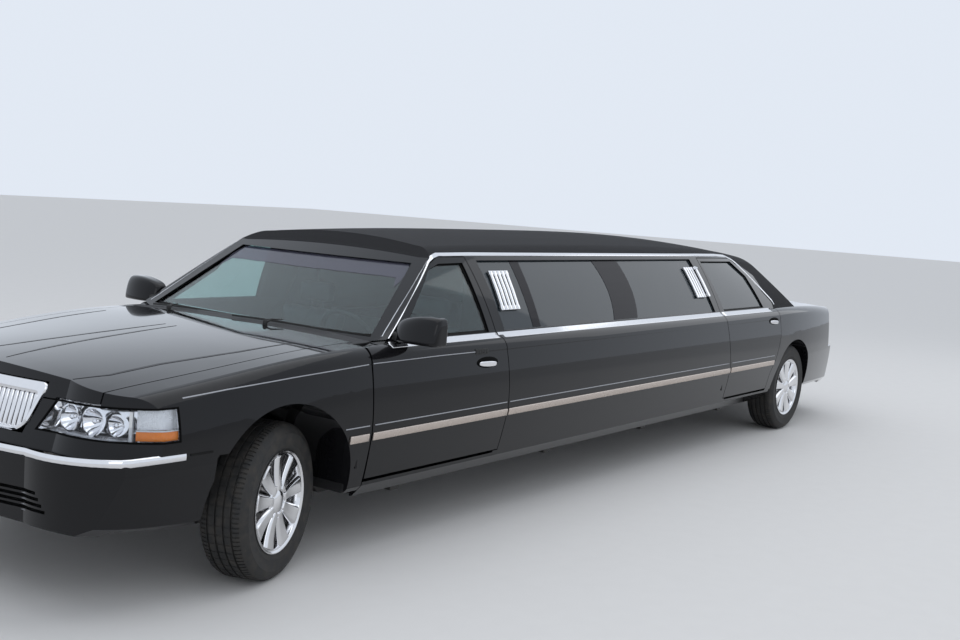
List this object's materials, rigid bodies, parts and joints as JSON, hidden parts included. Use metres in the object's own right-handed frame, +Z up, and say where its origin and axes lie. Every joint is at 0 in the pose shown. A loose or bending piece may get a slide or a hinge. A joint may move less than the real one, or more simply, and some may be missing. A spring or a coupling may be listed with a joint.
{
  "type": "stretch limousine",
  "caption": "Long black saloon car with a lengthened cabin, padded vinyl roof, dark side glass, opening doors, hood and trunk lid, and steered rolling wheels.",
  "frame": {"origin": "on the ground under the middle of the car's length and width", "axes": "+X forwards, +Y to the car's left, +Z up"},
  "size_m": [8.2648, 2.2972, 1.5253],
  "materials": {
    "black_paint": "gloss black paint",
    "frame_black": "satin black frame paint",
    "underbody": "matt underbody coating",
    "chrome": "polished chrome",
    "lamp_chrome": "reflector bowls",
    "clear_lens": "clear lens",
    "red_lens": "red lens",
    "vinyl": "grained charcoal vinyl",
    "clear_glass": "lightly tinted glass",
    "dark_glass": "dark tinted glass",
    "engine_metal": "cast engine",
    "exhaust_steel": "exhaust steel",
    "running_gear": "cast and forged steel",
    "dash_plastic": "soft grained plastic",
    "seat_leather": "dark leather",
    "black_trim": "black trim",
    "wheel_chrome": "polished wheel",
    "tyre": "rubber"
  },
  "bodies": {
    "body": {"chassis_frame": "frame_black", "floor_pan": "underbody", "cowl": "black_paint", "front_fenders": "black_paint", "header_panel": "black_paint", "front_bumper": "black_paint", "grille": "chrome", "headlamp_housings": "lamp_chrome", "headlamp_lenses": "clear_lens", "upper_frame": "black_paint", "vinyl_roof": "vinyl", "stretch_panels": "black_paint", "rocker_panels": "black_paint", "quarter_panels": "black_paint", "rear_bumper": "black_paint", "tail_lamps": "red_lens", "windshield": "clear_glass", "rear_glass": "dark_glass", "stretch_glass": "dark_glass", "engine_block": "engine_metal", "exhaust": "exhaust_steel", "driveshaft": "running_gear", "rear_axle": "running_gear", "front_suspension": "running_gear", "dashboard": "dash_plastic", "front_seats": "seat_leather", "lounge_seats": "seat_leather", "partition": "black_trim", "pillar_ornaments": "chrome"},
    "hood": {"hood": "black_paint"},
    "trunk_lid": {"trunk_lid": "black_paint"},
    "steering_wheel": {"steering_wheel": "dash_plastic"},
    "front_door_left": {"front_door_left": "black_paint", "front_door_glass_left": "clear_glass", "mirror_left": "black_trim"},
    "rear_door_left": {"rear_door_left": "black_paint", "rear_door_glass_left": "dark_glass"},
    "knuckle_left": {"knuckle_left": "running_gear"},
    "wheel_front_left": {"wheel_front_left": "wheel_chrome", "tyre_front_left": "tyre"},
    "wheel_rear_left": {"wheel_rear_left": "wheel_chrome", "tyre_rear_left": "tyre"},
    "front_door_right": {"front_door_right": "black_paint", "front_door_glass_right": "clear_glass", "mirror_right": "black_trim"},
    "rear_door_right": {"rear_door_right": "black_paint", "rear_door_glass_right": "dark_glass"},
    "knuckle_right": {"knuckle_right": "running_gear"},
    "wheel_front_right": {"wheel_front_right": "wheel_chrome", "tyre_front_right": "tyre"},
    "wheel_rear_right": {"wheel_rear_right": "wheel_chrome", "tyre_rear_right": "tyre"}
  },
  "joints": [
    {"name": "front_door_left_hinge", "type": "hinge", "parent": "body", "child": "front_door_left", "pos_m": [2.5475, 0.992, 0.7], "axis": [0, 0, 1], "range_deg": [-65, 0]},
    {"name": "rear_door_left_hinge", "type": "hinge", "parent": "body", "child": "rear_door_left", "pos_m": [-1.4225, 0.992, 0.7], "axis": [0, 0, 1], "range_deg": [-65, 0]},
    {"name": "steer_left", "type": "hinge", "parent": "body", "child": "knuckle_left", "pos_m": [3.0775, 0.77, 0.35], "axis": [0, 0, 1], "range_deg": [-51.5, 14.5]},
    {"name": "front_wheel_left_spin", "type": "hinge", "parent": "knuckle_left", "child": "wheel_front_left", "pos_m": [3.06639, 0.80319, 0.35], "axis": [-0.3173, 0.9483, 0], "continuous": true},
    {"name": "rear_wheel_left_spin", "type": "hinge", "parent": "body", "child": "wheel_rear_left", "pos_m": [-2.7065, 0.833, 0.35], "axis": [0, 1, 0], "continuous": true},
    {"name": "front_door_right_hinge", "type": "hinge", "parent": "body", "child": "front_door_right", "pos_m": [2.5475, -0.992, 0.7], "axis": [0, 0, 1], "range_deg": [0, 65]},
    {"name": "rear_door_right_hinge", "type": "hinge", "parent": "body", "child": "rear_door_right", "pos_m": [-1.4225, -0.992, 0.7], "axis": [0, 0, 1], "range_deg": [0, 65]},
    {"name": "steer_right", "type": "hinge", "parent": "body", "child": "knuckle_right", "pos_m": [3.0775, -0.77, 0.35], "axis": [0, 0, 1], "range_deg": [-51.5, 14.5]},
    {"name": "front_wheel_right_spin", "type": "hinge", "parent": "knuckle_right", "child": "wheel_front_right", "pos_m": [3.08861, -0.80319, 0.35], "axis": [-0.3173, 0.9483, 0], "continuous": true},
    {"name": "rear_wheel_right_spin", "type": "hinge", "parent": "body", "child": "wheel_rear_right", "pos_m": [-2.7065, -0.833, 0.35], "axis": [0, 1, 0], "continuous": true},
    {"name": "steering_wheel_turn", "type": "hinge", "parent": "body", "child": "steering_wheel", "pos_m": [2.0375, 0.37, 0.925], "axis": [-0.8829, 0, 0.4695], "range_deg": [-721, 203]},
    {"name": "hood_hinge", "type": "hinge", "parent": "body", "child": "hood", "pos_m": [2.5075, 0, 1.045], "axis": [0, -1, 0], "range_deg": [0, 55]},
    {"name": "trunk_lid_hinge", "type": "hinge", "parent": "body", "child": "trunk_lid", "pos_m": [-2.9965, 0, 1.045], "axis": [0, 1, 0], "range_deg": [0, 75]}
  ],
  "couplings": [
    {"joint": "steer_right", "follows": "steer_left", "ratio": 1},
    {"joint": "steering_wheel_turn", "follows": "steer_left", "ratio": 14}
  ]
}
